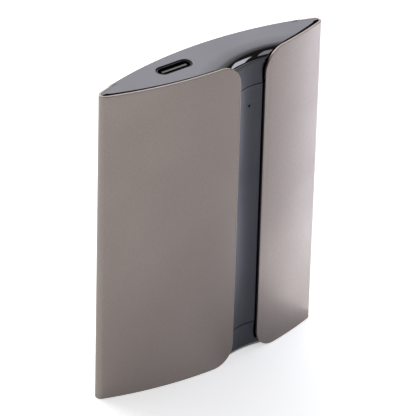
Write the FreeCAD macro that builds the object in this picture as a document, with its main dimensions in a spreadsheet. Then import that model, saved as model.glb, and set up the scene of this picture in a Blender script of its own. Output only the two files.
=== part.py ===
import FreeCAD, Part
import math
import os
from types import SimpleNamespace

import Sketcher

# Portable solid state drive, standing on its end. Millimetres.
# X runs across the width, -Y is the slotted front and +Z is up. The origin is the middle of the foot.

DIMENSIONS = (
    # Sleeve
    ("width", 60.4, "across the two tips"),
    ("height", 80.0, "end to end"),
    ("depth", 12.2, "front to back at the middle"),
    ("wall", 0.6, "sleeve wall"),
    ("tip_radius", 1.4, "outside of the sleeve's tips"),
    ("edge_break", 0.15, "broken outer edges of the sleeve"),
    ("slot_centre", 7.6, "slot, to the right of the middle"),
    ("slot_width", 7.26, "slot, between its straight edges"),
    ("slot_corner", 5.5, "rounded corners where the slot runs out at both ends"),
    # End caps
    ("shadow_gap", 0.4, "open gap beside the strip and around the carrier"),
    ("slide_gap", 0.1, "play of the cap flanges in the sleeve"),
    ("cap_front_gap", 0.3, "cap face to sleeve at the middle of the front"),
    ("cap_tip_gap", 1.4, "cap face to sleeve at the tips"),
    ("cap_tip_radius", 0.4, "tips of the cap faces"),
    ("lip_start", 2.25, "lip of the cap over the sleeve's rear wall, from here backwards"),
    ("lip_gap", 0.1, "gap between the lip and the sleeve"),
    ("cap_plate", 1.6, "thickness of the cap face above its flange"),
    ("cap_flange", 1.5, "thickness of the flange"),
    ("core_width", 36.0, "hollow under the cap, across"),
    ("core_depth", 4.8, "hollow under the cap, front to back"),
    ("tongue_length", 8.0, "tongue in the slot, from the end of the drive"),
    ("tongue_thickness", 1.8, "tongue, behind the deepest line of the groove"),
    ("parting_gap", 0.2, "hairline between a tongue and the strip"),
    ("groove_depth", 1.45, "deepest line of the groove, below the sleeve's face"),
    ("groove_radius", 9.3, "hollow of the strip"),
    ("mouth_radius", 22.0, "hollow of the groove where it opens at the ends"),
    ("roll_radius", 2.5, "rounding from the groove over onto the cap face"),
    ("leg_width", 5.2, "cap leg, across"),
    ("leg_depth", 2.8, "cap leg, front to back"),
    ("spigot_width", 3.6, "spigot under the leg, across"),
    ("spigot_depth", 2.0, "spigot, front to back"),
    ("spigot_length", 6.0, "spigot, in the carrier's socket"),
    ("spigot_gap", 0.1, "play of the spigot in its socket"),
    # Carrier
    ("carrier_wall", 1.0, "front wall"),
    ("rail_wall", 0.9, "side rail between the board and the socket"),
    ("strip_thickness", 1.1, "strip, behind the deepest line of the groove"),
    # Receptacle
    ("usb_x", -9.45, "receptacle, from the middle"),
    ("usb_y", 1.05, "receptacle, behind the middle"),
    ("usb_width", 8.94, "receptacle shell, across"),
    ("usb_thickness", 3.2, "receptacle shell, front to back"),
    ("usb_length", 7.4, "receptacle shell, along the plug"),
    ("usb_wall", 0.3, "receptacle shell, sheet"),
    ("usb_recess", 0.2, "receptacle's mouth below the cap face"),
    ("usb_base", 2.5, "moulded base at the back of the receptacle"),
    ("usb_fit", 0.04, "play of the base in the receptacle shell"),
    ("usb_tab", 0.9, "solder tab, beyond the shell"),
    ("blade_width", 6.7, "tongue of the receptacle, across"),
    ("blade_thickness", 0.7, "tongue of the receptacle"),
    ("blade_length", 4.75, "tongue of the receptacle"),
    ("contact_width", 0.26, "one contact"),
    ("contact_pitch", 0.5, "contact to contact"),
    ("contact_thickness", 0.06, "one contact"),
    ("contact_length", 4.1, "one contact"),
    ("port_gap", 0.15, "gap between the receptacle and the opening in the cap"),
    ("port_chamfer", 0.2, "broken edge of the opening in the cap"),
    # Board
    ("board_width", 36.0, "circuit board, across"),
    ("board_thickness", 0.8, "circuit board"),
    ("board_drop", 4.5, "top edge of the board below the top of the drive"),
    ("board_rise", 10.5, "bottom edge of the board above the foot of the drive"),
    ("board_gap", 0.3, "gap between the board and the side rails"),
    ("screw_side", 2.4, "screw, from the side edge of the board"),
    ("screw_top", 7.0, "upper screws, from the top edge of the board"),
    ("screw_foot", 4.0, "lower screws, from the bottom edge of the board"),
    ("screw_shank", 1.6, "screw, diameter"),
    ("screw_length", 3.2, "screw, under its head"),
    ("screw_head", 2.8, "screw head, diameter"),
    ("screw_head_height", 0.8, "screw head"),
    ("screw_socket", 1.2, "drive in the screw head, diameter"),
    ("screw_gap", 0.1, "gap around the screw in its hole"),
    ("boss_diameter", 3.4, "screw post on the carrier"),
    # Status light
    ("led_drop", 13.1, "pin-hole below the top of the drive"),
    ("led_hole", 0.7, "pin-hole, diameter"),
    ("led_skin", 0.5, "strip left in front of the light pipe"),
    ("led_width", 1.6, "light, across"),
    ("led_height", 0.8, "light, along the drive"),
    ("led_thickness", 0.6, "light, off the board"),
    ("pipe_diameter", 1.6, "light pipe"),
    ("pipe_tip", 0.56, "light pipe in the pin-hole, diameter"),
    ("pipe_tip_length", 0.25, "light pipe in the pin-hole"),
    ("pipe_gap", 0.05, "play of the light pipe in its post"),
    ("pipe_post", 3.2, "post around the light pipe, diameter"),
    ("pipe_post_length", 2.8, "post around the light pipe, behind the strip's groove"),
    # Parts on the board
    ("controller_size", 9.0, "controller, both ways"),
    ("controller_thickness", 0.9, "controller"),
    ("controller_drop", 17.0, "controller, below the top edge of the board"),
    ("flash_width", 12.0, "flash chip, across"),
    ("flash_height", 18.0, "flash chip, along the drive"),
    ("flash_thickness", 1.0, "flash chip"),
    ("flash_spread", 14.4, "flash chips, centre to centre"),
    ("flash_drop", 37.5, "flash chips, below the top edge of the board"),
    ("power_size", 3.0, "power chip, both ways"),
    ("power_thickness", 0.75, "power chip"),
    ("power_drop", 14.0, "power parts, below the top edge of the board"),
    ("power_x", 3.0, "power chip, from the middle"),
    ("inductor_size", 2.5, "inductor, both ways"),
    ("inductor_thickness", 1.2, "inductor"),
    ("inductor_gap", 1.6, "gap between the power chip and the inductors, and between these"),
    ("crystal_width", 2.5, "crystal, across"),
    ("crystal_height", 2.0, "crystal, along the drive"),
    ("crystal_thickness", 0.6, "crystal"),
    ("crystal_gap", 1.5, "gap between the controller and the crystal"),
    ("capacitor_width", 0.8, "one capacitor, across"),
    ("capacitor_height", 1.6, "one capacitor, along the drive"),
    ("capacitor_thickness", 0.8, "one capacitor"),
    ("capacitor_pitch", 2.0, "capacitor to capacitor"),
    ("capacitor_gap", 2.0, "capacitors, below the flash chips"),
    ("resistor_width", 0.5, "one resistor, across"),
    ("resistor_height", 1.0, "one resistor, along the drive"),
    ("resistor_thickness", 0.35, "one resistor"),
    ("resistor_pitch", 1.4, "resistor to resistor"),
    ("resistor_gap", 1.2, "resistors, below the capacitors"),
    ("pad_margin", 0.8, "thermal pad, beyond the flash chips all round"),
    ("pad_gap", 0.05, "thermal pad to the sleeve"),
)

doc = FreeCAD.newDocument("portable_drive")


class Size:
    """A length and the expression that gives it, so that one sum serves the drawing and the binding."""

    def __init__(self, text, value):
        self.text = text
        self.value = float(value)

    def joined(self, sign, other, value):
        return Size(f"({self.text} {sign} {other.text})", value)

    def __add__(self, other):
        other = as_size(other)
        return self.joined("+", other, self.value + other.value)

    def __sub__(self, other):
        other = as_size(other)
        return self.joined("-", other, self.value - other.value)

    def __mul__(self, other):
        other = as_size(other)
        return self.joined("*", other, self.value * other.value)

    def __truediv__(self, other):
        other = as_size(other)
        return self.joined("/", other, self.value / other.value)

    def __neg__(self):
        return Size(f"(0 - {self.text})", -self.value)

    def root(self):
        return Size(f"sqrt({self.text})", math.sqrt(self.value))


def as_size(number):
    if isinstance(number, Size):
        return number
    return Size(f"{number:g}", number)


sheet = doc.addObject("Spreadsheet::Sheet", "Dimensions")
for row, (name, value, meaning) in enumerate(DIMENSIONS, start=1):
    sheet.set(f"A{row}", meaning)
    sheet.set(f"B{row}", f"{value:g}")
    sheet.setAlias(f"B{row}", name)
doc.recompute()
d = SimpleNamespace(**{name: Size(f"Dimensions.{name}", value) for name, value, meaning in DIMENSIONS})

worked_out = doc.addObject("App::VarSet", "Derived")


def derived(name, size):
    """Keeps a worked-out length in the document under its own name."""
    worked_out.addProperty("App::PropertyFloat", name)
    worked_out.setExpression(name, size.text)
    return Size(f"Derived.{name}", size.value)


def bind(thing, path, size):
    thing.setExpression(path, as_size(size).text)


# Sketches


def origin_feature(body, role):
    return [part for part in body.Origin.OriginFeatures if part.Role == role][0]


def sketch_on(body, name, plane, x=0, y=0, z=0):
    """A sketch on one of the body's origin planes, moved by x, y and z in the plane's own directions."""
    sketch = body.newObject("Sketcher::SketchObject", name)
    sketch.AttachmentSupport = [(origin_feature(body, plane), "")]
    sketch.MapMode = "FlatFace"
    for axis, place in (("x", x), ("y", y), ("z", z)):
        bind(sketch, f"AttachmentOffset.Base.{axis}", place)
    return sketch


def constrain(sketch, *rule):
    """Adds a constraint. One that ends in a Size is bound to it."""
    if not isinstance(rule[-1], Size):
        return sketch.addConstraint(Sketcher.Constraint(*rule))
    index = sketch.addConstraint(Sketcher.Constraint(*rule[:-1], rule[-1].value))
    sketch.setExpression(f"Constraints[{index}]", rule[-1].text)
    return index


def place_point(sketch, piece, end, x, y):
    """Fixes a point at x, y from the sketch's origin."""
    for kind, axis, place in (("DistanceX", -2, as_size(x)), ("DistanceY", -1, as_size(y))):
        if abs(place.value) < 1e-9:
            constrain(sketch, "PointOnObject", piece, end, axis)
        else:
            constrain(sketch, kind, -1, 1, piece, end, place)


def arc(centre_x, centre_y, radius, start, end):
    circle = Part.Circle(FreeCAD.Vector(centre_x, centre_y, 0), FreeCAD.Vector(0, 0, 1), radius)
    return Part.ArcOfCircle(circle, start, end)


def outline(sketch, corners, arcs=None):
    """A closed outline. arcs gives, for the side that starts at a corner, its radius and the arc's centre."""
    arcs = arcs or {}
    corners = [(as_size(x), as_size(y)) for x, y in corners]
    points = [FreeCAD.Vector(x.value, y.value, 0) for x, y in corners]
    sides = []
    for index, start in enumerate(points):
        end = points[(index + 1) % len(points)]
        first, last = 1, 2
        if index in arcs:
            radius, centre_x, centre_y = arcs[index]
            from_angle = math.atan2(start.y - centre_y.value, start.x - centre_x.value)
            to_angle = math.atan2(end.y - centre_y.value, end.x - centre_x.value)
            if (to_angle - from_angle) % (2 * math.pi) > math.pi:
                first, last = 2, 1
                from_angle, to_angle = to_angle, from_angle
            curve = arc(centre_x.value, centre_y.value, radius.value, from_angle, to_angle)
        else:
            curve = Part.LineSegment(start, end)
        sides.append((sketch.addGeometry(curve, False), first, last))
    for index, (side, first, last) in enumerate(sides):
        follower, follower_first, _ = sides[(index + 1) % len(sides)]
        constrain(sketch, "Coincident", side, last, follower, follower_first)
    for index, (side, first, last) in enumerate(sides):
        place_point(sketch, side, first, *corners[index])
        if index in arcs:
            constrain(sketch, "Radius", side, arcs[index][0])
    return sketch


def rectangle(sketch, left, right, bottom, top):
    return outline(sketch, [(left, bottom), (right, bottom), (right, top), (left, top)])


def centred_rectangle(sketch, width, height):
    return rectangle(sketch, -(width / 2), width / 2, -(height / 2), height / 2)


def circles(sketch, places, diameter):
    for x, y in places:
        centre = FreeCAD.Vector(as_size(x).value, as_size(y).value, 0)
        ring = Part.Circle(centre, FreeCAD.Vector(0, 0, 1), diameter.value / 2)
        index = sketch.addGeometry(ring, False)
        place_point(sketch, index, 3, x, y)
        constrain(sketch, "Diameter", index, diameter)
    return sketch


def stadium(sketch, width, thickness):
    """A flat oval about the sketch's origin."""
    radius = thickness / 2
    reach = width / 2 - radius
    tall, wide = radius.value, reach.value
    corners = [FreeCAD.Vector(x, y, 0) for x, y in ((wide, tall), (-wide, tall), (-wide, -tall), (wide, -tall))]
    top = sketch.addGeometry(Part.LineSegment(corners[0], corners[1]), False)
    left = sketch.addGeometry(arc(-wide, 0, tall, math.pi / 2, math.pi * 3 / 2), False)
    base = sketch.addGeometry(Part.LineSegment(corners[2], corners[3]), False)
    right = sketch.addGeometry(arc(wide, 0, tall, -math.pi / 2, math.pi / 2), False)
    for before, after in ((top, left), (left, base), (base, right), (right, top)):
        constrain(sketch, "Tangent", before, 2, after, 1)
    place_point(sketch, right, 3, reach, 0)
    place_point(sketch, left, 3, -reach, 0)
    constrain(sketch, "Equal", left, right)
    constrain(sketch, "Radius", right, radius)
    return sketch


def bow(deep, reach, tip):
    """Radius of the bowed faces of a lens, from its half depth, the centre of its tips and their radius."""
    return (reach * reach + deep * deep - tip * tip) / ((deep - tip) * 2)


def lens(sketch, deep, long, tip):
    """Two bowed faces and two round tips, from the half depth, the half length and the radius of the tips."""
    reach = long - tip
    face = bow(deep, reach, tip)
    centre = face.value - deep.value
    across = reach.value
    front_end = -math.pi / 2 + math.atan2(across, centre)
    front = sketch.addGeometry(arc(0, centre, face.value, -math.pi - front_end, front_end), False)
    right = sketch.addGeometry(arc(across, 0, tip.value, front_end, -front_end), False)
    back = sketch.addGeometry(arc(0, -centre, face.value, -front_end, math.pi + front_end), False)
    left = sketch.addGeometry(arc(-across, 0, tip.value, math.pi + front_end, math.pi - front_end), False)
    for before, after in ((front, right), (right, back), (back, left), (left, front)):
        constrain(sketch, "Tangent", before, 2, after, 1)
    place_point(sketch, right, 3, reach, 0)
    place_point(sketch, left, 3, -reach, 0)
    constrain(sketch, "Radius", right, tip)
    constrain(sketch, "Equal", left, right)
    constrain(sketch, "Radius", front, face)
    constrain(sketch, "Equal", front, back)
    return sketch


def inset_lens(sketch, inset):
    """The drive's section, drawn inside its outside by the inset."""
    return lens(sketch, half_depth - inset, d.width / 2 - inset, d.tip_radius - inset)


# Features


def new_body(name):
    body = doc.addObject("PartDesign::Body", name)
    body.Label = name
    return body


def pad(body, name, sketch, length, backwards=False):
    feature = body.newObject("PartDesign::Pad", name)
    feature.Profile = sketch
    feature.Reversed = backwards
    bind(feature, "Length", length)
    return feature


def pocket(body, name, sketch, length, backwards=False):
    feature = body.newObject("PartDesign::Pocket", name)
    feature.Profile = sketch
    feature.Reversed = backwards
    bind(feature, "Length", length)
    return feature


def pattern(body, name, originals, *runs):
    """Repeats features along the body's axes. A run is an axis, a count and the length it covers."""
    feature = body.newObject("PartDesign::LinearPattern", name)
    feature.Originals = originals
    for suffix, (axis, count, length) in zip(("", "2"), runs):
        setattr(feature, f"Direction{suffix}", (origin_feature(body, axis), [""]))
        setattr(feature, f"Occurrences{suffix}", count)
        bind(feature, f"Length{suffix}", length)
    body.Tip = feature
    return feature


def box(name, x, z, width, height, thickness, rear=True):
    """A part soldered flat on the board, given by its middle."""
    block = doc.addObject("Part::Box", name)
    block.Label = name
    bind(block, "Length", width)
    bind(block, "Width", thickness)
    bind(block, "Height", height)
    bind(block, "Placement.Base.x", x - width / 2)
    bind(block, "Placement.Base.y", board_rear if rear else board_front - thickness)
    bind(block, "Placement.Base.z", z - height / 2)
    return block


# Lengths worked out from the sheet

half_depth = d.depth / 2
tip_x = derived("tip_x", d.width / 2 - d.tip_radius)
face_radius = derived("face_radius", bow(half_depth, tip_x, d.tip_radius))
face_centre = derived("face_centre", face_radius - half_depth)


def front_at(x, inset):
    """Y of the bowed front at x, below the sleeve's face by the inset."""
    radius = face_radius - inset
    return face_centre - (radius * radius - x * x).root()


carrier_inset = derived("carrier_inset", d.wall + d.shadow_gap)
flange_inset = derived("flange_inset", d.wall + d.slide_gap)
slot_left = derived("slot_left", d.slot_centre - d.slot_width / 2)
slot_right = derived("slot_right", d.slot_centre + d.slot_width / 2)
strip_left = derived("strip_left", slot_left + d.shadow_gap)
strip_right = derived("strip_right", slot_right - d.shadow_gap)
slot_sine = derived("slot_sine", d.slot_centre / face_radius)
slot_cosine = derived("slot_cosine", (as_size(1) - slot_sine * slot_sine).root())
groove_floor = derived("groove_floor", face_centre - (face_radius - d.groove_depth) * slot_cosine)


def groove_centre(name, radius):
    """Axis of a hollow of that radius, square to the sleeve's face at the slot."""
    reach = face_radius + radius - d.groove_depth
    x = derived(f"{name}_x", reach * slot_sine)
    y = derived(f"{name}_y", face_centre - reach * slot_cosine)
    return x, y


groove_x, groove_y = groove_centre("groove", d.groove_radius)
mouth_x, mouth_y = groove_centre("mouth", d.mouth_radius)
tongue_back = derived("tongue_back", groove_floor + d.tongue_thickness)
lip_rise = d.lip_start + face_centre
lip_x = derived("lip_x", (face_radius * face_radius - lip_rise * lip_rise).root())

board_front = derived("board_front", d.usb_y - d.board_thickness / 2)
board_rear = derived("board_rear", d.usb_y + d.board_thickness / 2)
board_top = derived("board_top", d.height - d.board_drop)
board_foot = derived("board_foot", d.board_rise)
cavity_half = derived("cavity_half", d.board_width / 2 + d.board_gap)
socket_width = derived("socket_width", d.spigot_width + d.spigot_gap * 2)
socket_depth = derived("socket_depth", d.spigot_depth + d.spigot_gap * 2)
leg_x = derived("leg_x", cavity_half + d.rail_wall + socket_width / 2)
carrier_foot = derived("carrier_foot", d.tongue_length + d.parting_gap / 2)
carrier_length = derived("carrier_length", d.height - carrier_foot * 2)
screw_x = derived("screw_x", d.board_width / 2 - d.screw_side)
screw_low = derived("screw_low", board_foot + d.screw_foot)
screw_high = derived("screw_high", board_top - d.screw_top)
led_z = derived("led_z", d.height - d.led_drop)
usb_mouth = derived("usb_mouth", d.height - d.usb_recess)
usb_back = derived("usb_back", usb_mouth - d.usb_length)
doc.recompute()

screw_places = [(side, level) for level in (screw_low, screw_high) for side in (-screw_x, screw_x)]
nodes = []

# Sleeve: a lens-shaped tube with the slot let through its front from end to end

shell = new_body("outer_shell")
section = inset_lens(inset_lens(sketch_on(shell, "section", "XY_Plane"), as_size(0)), d.wall)
pad(shell, "sleeve", section, d.height)
slot_sketch = sketch_on(shell, "slot_outline", "XZ_Plane")
left_mouth = slot_left - d.slot_corner
right_mouth = slot_right + d.slot_corner
high_corner = d.height - d.slot_corner
over = d.slot_corner
outline(
    slot_sketch,
    [
        (slot_left, d.slot_corner),
        (slot_left, high_corner),
        (left_mouth, d.height),
        (left_mouth, d.height + over),
        (right_mouth, d.height + over),
        (right_mouth, d.height),
        (slot_right, high_corner),
        (slot_right, d.slot_corner),
        (right_mouth, as_size(0)),
        (right_mouth, -over),
        (left_mouth, -over),
        (left_mouth, as_size(0)),
    ],
    {
        1: (d.slot_corner, left_mouth, high_corner),
        5: (d.slot_corner, right_mouth, high_corner),
        7: (d.slot_corner, right_mouth, d.slot_corner),
        11: (d.slot_corner, left_mouth, d.slot_corner),
    },
)
pocket(shell, "slot", slot_sketch, d.depth, backwards=True)
for end, place in (("upper", d.height), ("lower", as_size(0))):
    rear_sketch = sketch_on(shell, f"{end}_rear_outline", "XY_Plane", z=place)
    rectangle(rear_sketch, -(d.width / 2), d.width / 2, d.lip_start - d.lip_gap, d.depth)
    cut = pocket(shell, f"{end}_rear", rear_sketch, d.cap_plate + d.lip_gap, backwards=end == "lower")
doc.recompute()


def on_outside(point):
    """True for a point on the drive's lens-shaped outside."""
    tip = abs(math.hypot(abs(point.x) - tip_x.value, point.y) - d.tip_radius.value)
    face = abs(math.hypot(point.x, abs(point.y) + face_centre.value) - face_radius.value)
    return min(tip, face) < 1e-3


def rim_edges(shape):
    """Names of the edges that bound the front and tips of the sleeve's outside, without its upright seams."""
    names = []
    for number, edge in enumerate(shape.Edges, start=1):
        first, last = edge.ParameterRange
        samples = [edge.valueAt(first + (last - first) * step / 4) for step in range(5)]
        seam = edge.BoundBox.ZLength > d.height.value - d.cap_plate.value * 2 - 1
        rear = edge.BoundBox.YMax > d.lip_start.value
        step = edge.BoundBox.YMin > d.lip_start.value - d.lip_gap.value - 1e-3
        if not (seam or rear or step) and all(on_outside(point) for point in samples):
            names.append(f"Edge{number}")
    return names


rim = shell.newObject("PartDesign::Chamfer", "rim")
rim.Base = (cut, rim_edges(cut.Shape))
bind(rim, "Size", d.edge_break)
shell.Tip = rim
nodes.append(shell)

# End caps: face, flange in the sleeve, tongue that fills the end of the slot, two legs with spigots


def cap_face(sketch):
    deep = half_depth - d.wall - d.cap_front_gap
    return lens(sketch, deep, d.width / 2 - d.wall - d.cap_tip_gap, d.cap_tip_radius)


def rear_face(sketch):
    """The rear half of the face, close to the sleeve."""
    tip = d.tip_radius - flange_inset
    share = tip / (face_radius - d.tip_radius)
    across = tip_x + tip_x * share
    along = face_centre * share
    corners = [(tip_x + tip, as_size(0)), (across, along), (-across, along), (-(tip_x + tip), as_size(0))]
    arcs = {
        0: (tip, tip_x, as_size(0)),
        1: (face_radius - flange_inset, as_size(0), -face_centre),
        2: (tip, -tip_x, as_size(0)),
    }
    return outline(sketch, corners, arcs)


def rear_lip(sketch):
    """Between the sleeve's rear face and a line across the drive."""
    corners = [(-lip_x, d.lip_start), (lip_x, d.lip_start)]
    return outline(sketch, corners, {1: (face_radius, as_size(0), -face_centre)})


def end_cap(name, at_top):
    body = new_body(name)

    def level(from_end):
        return d.height - from_end if at_top else from_end

    def slab(label, sketch_name, nearer, farther, draw):
        """Pads a sketch between two distances from the end of the drive."""
        start = level(farther) if at_top else level(nearer)
        sketch = sketch_on(body, sketch_name, "XY_Plane", z=start)
        draw(sketch)
        return pad(body, label, sketch, farther - nearer)

    end = as_size(0)
    tongue_end = d.tongue_length - d.parting_gap / 2
    wedge = sketch_on(body, "tongue_outline", "XZ_Plane", z=-tongue_back)
    corner_z = level(d.slot_corner)
    corner = d.slot_corner + d.shadow_gap
    flare = (corner * corner - d.slot_corner * d.slot_corner).root()
    outline(
        wedge,
        [
            (strip_left, level(tongue_end)),
            (strip_left, corner_z),
            (left_mouth + flare, level(end)),
            (right_mouth - flare, level(end)),
            (strip_right, corner_z),
            (strip_right, level(tongue_end)),
        ],
        {1: (corner, left_mouth, corner_z), 3: (corner, right_mouth, corner_z)},
    )
    pad(body, "tongue", wedge, half_depth + tongue_back)
    flange_end = d.cap_plate + d.cap_flange
    slab("face", "face_outline", end, d.cap_plate, cap_face)
    slab("rear_face", "rear_outline", end, d.cap_plate, rear_face)
    slab("lip", "lip_outline", end, d.cap_plate, rear_lip)
    slab("flange", "flange_outline", d.cap_plate, flange_end, lambda sketch: inset_lens(sketch, flange_inset))

    core = sketch_on(body, "core_outline", "XY_Plane", y=d.usb_y / 2, z=level(d.cap_plate))
    centred_rectangle(core, d.core_width, d.core_depth)
    pocket(body, "core", core, d.cap_flange, backwards=not at_top)

    throat = sketch_on(body, "groove_section", "XY_Plane", z=level(d.tongue_length))
    hollow(throat, d.groove_radius, groove_x, groove_y)
    mouth = sketch_on(body, "mouth_section", "XY_Plane", z=level(d.roll_radius))
    hollow(mouth, d.mouth_radius, mouth_x, mouth_y)
    groove = body.newObject("PartDesign::SubtractiveLoft", "groove")
    groove.Profile = throat
    groove.Sections = [mouth]
    groove.Ruled = True

    turn = sketch_on(body, "roll_section", "YZ_Plane", x=mouth_y, z=mouth_x)
    inner = d.mouth_radius + d.roll_radius
    outside = d.mouth_radius - d.roll_radius
    beyond = d.height + d.roll_radius if at_top else -d.roll_radius
    outline(
        turn,
        [
            (d.mouth_radius, level(d.roll_radius)),
            (inner, level(end)),
            (inner, beyond),
            (outside, beyond),
            (outside, level(d.roll_radius)),
        ],
        {0: (d.roll_radius, inner, level(d.roll_radius))},
    )
    roll = body.newObject("PartDesign::Groove", "roll")
    roll.Profile = turn
    roll.ReferenceAxis = (turn, ["V_Axis"])
    roll.Angle = 70
    roll.Midplane = True

    for side, leg_side in (("left", -leg_x), ("right", leg_x)):
        for label, width, depth, nearer, farther in (
            ("leg", d.leg_width, d.leg_depth, flange_end, carrier_foot),
            ("spigot", d.spigot_width, d.spigot_depth, carrier_foot, carrier_foot + d.spigot_length),
        ):
            start = level(farther) if at_top else level(nearer)
            sketch = sketch_on(body, f"{side}_{label}_outline", "XY_Plane", x=leg_side, z=start)
            centred_rectangle(sketch, width, depth)
            pad(body, f"{side}_{label}", sketch, farther - nearer)
    return body


def hollow(sketch, radius, centre_x, centre_y):
    """The space in front of an arc of that radius, drawn wide of the slot."""
    across = radius * 0.8 if radius.value < d.slot_width.value * 2 else d.slot_width * 1.5
    drop = (radius * radius - across * across).root()
    front = centre_y - radius / 4
    outline(
        sketch,
        [
            (centre_x - across, centre_y + drop),
            (centre_x - across, front),
            (centre_x + across, front),
            (centre_x + across, centre_y + drop),
        ],
        {3: (radius, centre_x, centre_y)},
    )


top_cap = end_cap("top_cap", at_top=True)
port_sketch = stadium(
    sketch_on(top_cap, "port_outline", "XY_Plane", x=d.usb_x, y=d.usb_y, z=d.height),
    d.usb_width + d.port_gap * 2,
    d.usb_thickness + d.port_gap * 2,
)
port = pocket(top_cap, "port", port_sketch, d.cap_plate + d.cap_flange)
doc.recompute()


def port_edges(shape):
    """Names of the edges of the opening on the cap face."""
    names = []
    for number, edge in enumerate(shape.Edges, start=1):
        bounds = edge.BoundBox
        flat = bounds.ZMin > d.height.value - 1e-4
        near_x = abs(bounds.Center.x - d.usb_x.value) < d.usb_width.value / 2 + d.port_gap.value + 0.01
        near_y = abs(bounds.Center.y - d.usb_y.value) < d.usb_thickness.value / 2 + d.port_gap.value + 0.01
        if flat and near_x and near_y:
            names.append(f"Edge{number}")
    return names


port_edge = top_cap.newObject("PartDesign::Chamfer", "port_edge")
port_edge.Base = (port, port_edges(port.Shape))
bind(port_edge, "Size", d.port_chamfer)
top_cap.Tip = port_edge
nodes.append(top_cap)
nodes.append(end_cap("bottom_cap", at_top=False))

# Carrier: bowed front wall and two side rails, open at the back, with the strip that shows in the slot

carrier = new_body("carrier")
carrier_section = inset_lens(sketch_on(carrier, "section", "XY_Plane", z=carrier_foot), carrier_inset)
pad(carrier, "block", carrier_section, carrier_length)
cavity_sketch = sketch_on(carrier, "cavity_outline", "XY_Plane", z=carrier_foot)
wall_inset = carrier_inset + d.carrier_wall
cavity_edge = derived("cavity_edge", front_at(cavity_half, wall_inset))
outline(
    cavity_sketch,
    [
        (-cavity_half, cavity_edge),
        (cavity_half, cavity_edge),
        (cavity_half, half_depth),
        (-cavity_half, half_depth),
    ],
    {0: (face_radius - wall_inset, as_size(0), face_centre)},
)
pocket(carrier, "cavity", cavity_sketch, carrier_length, backwards=True)
strip_sketch = sketch_on(carrier, "strip_outline", "XY_Plane", z=carrier_foot)
rectangle(strip_sketch, strip_left, strip_right, -half_depth, groove_floor + d.strip_thickness)
pad(carrier, "strip", strip_sketch, carrier_length)
post_root = derived("post_root", front_at(screw_x, carrier_inset + d.carrier_wall * 0.6))
posts = circles(sketch_on(carrier, "post_outline", "XZ_Plane", z=-board_front), screw_places, d.boss_diameter)
pad(carrier, "screw_posts", posts, board_front - post_root)
pipe_places = [(d.slot_centre, led_z)]
pipe_post_end = derived("pipe_post_end", groove_floor + d.pipe_post_length)
pipe_post_sketch = sketch_on(carrier, "pipe_post_outline", "XZ_Plane", z=-pipe_post_end)
circles(pipe_post_sketch, pipe_places, d.pipe_post)
pad(carrier, "pipe_post", pipe_post_sketch, d.pipe_post_length - d.led_skin)
groove_sketch = sketch_on(carrier, "groove_outline", "XY_Plane", x=groove_x, y=groove_y, z=carrier_foot)
circles(groove_sketch, [(0, 0)], d.groove_radius * 2)
pocket(carrier, "groove", groove_sketch, carrier_length, backwards=True)
hole_diameter = d.screw_shank + d.screw_gap * 2
pilots = circles(sketch_on(carrier, "pilot_outline", "XZ_Plane", z=-board_front), screw_places, hole_diameter)
pocket(carrier, "screw_holes", pilots, d.screw_length - d.board_thickness + d.screw_gap, backwards=True)
bore = circles(
    sketch_on(carrier, "pipe_bore_outline", "XZ_Plane", z=-pipe_post_end),
    pipe_places,
    d.pipe_diameter + d.pipe_gap * 2,
)
pocket(carrier, "pipe_bore", bore, d.pipe_post_length - d.led_skin, backwards=True)
pin_hole_sketch = sketch_on(carrier, "pin_hole_outline", "XZ_Plane", z=-pipe_post_end)
circles(pin_hole_sketch, pipe_places, d.led_hole)
pocket(carrier, "pin_hole", pin_hole_sketch, half_depth + pipe_post_end, backwards=True)
for side, leg_side in (("left", -leg_x), ("right", leg_x)):
    for label, start, backwards in (
        ("low", carrier_foot, True),
        ("high", carrier_foot + carrier_length, False),
    ):
        socket = sketch_on(carrier, f"{side}_{label}_socket_outline", "XY_Plane", x=leg_side, z=start)
        centred_rectangle(socket, socket_width, socket_depth)
        pocket(carrier, f"{side}_{label}_socket", socket, d.spigot_length + d.spigot_gap * 2, backwards)
nodes.append(carrier)

# Circuit board with its screw holes and the notch that the receptacle sits in

board = new_body("circuit_board")
board_sketch = sketch_on(board, "board_outline", "XZ_Plane", z=-board_rear)
notch_half = d.usb_width / 2 + d.usb_fit * 2
notch_foot = usb_back - d.usb_fit * 2
outline(
    board_sketch,
    [
        (-(d.board_width / 2), board_foot),
        (d.board_width / 2, board_foot),
        (d.board_width / 2, board_top),
        (d.usb_x + notch_half, board_top),
        (d.usb_x + notch_half, notch_foot),
        (d.usb_x - notch_half, notch_foot),
        (d.usb_x - notch_half, board_top),
        (-(d.board_width / 2), board_top),
    ],
)
pad(board, "laminate", board_sketch, d.board_thickness)
holes = circles(sketch_on(board, "hole_outline", "XZ_Plane", z=-board_rear), screw_places, hole_diameter)
pocket(board, "screw_holes", holes, d.board_thickness, backwards=True)
nodes.append(board)

screws = new_body("board_screws")
first_screw = [(-screw_x, screw_low)]
shank_sketch = sketch_on(screws, "shank_outline", "XZ_Plane", z=-board_rear)
circles(shank_sketch, first_screw, d.screw_shank)
shank = pad(screws, "shank", shank_sketch, d.screw_length)
head_top = board_rear + d.screw_head_height
head_sketch = circles(sketch_on(screws, "head_outline", "XZ_Plane", z=-head_top), first_screw, d.screw_head)
head = pad(screws, "head", head_sketch, d.screw_head_height)
drive_sketch = circles(sketch_on(screws, "drive_outline", "XZ_Plane", z=-head_top), first_screw, d.screw_socket)
drive = pocket(screws, "drive", drive_sketch, d.screw_head_height / 2, backwards=True)
doc.recompute()
pattern(
    screws,
    "four_screws",
    [shank, head, drive],
    ("X_Axis", 2, screw_x * 2),
    ("Z_Axis", 2, screw_high - screw_low),
)
nodes.append(screws)

# Receptacle: folded shell with solder tabs, moulded tongue, two rows of contacts

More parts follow.
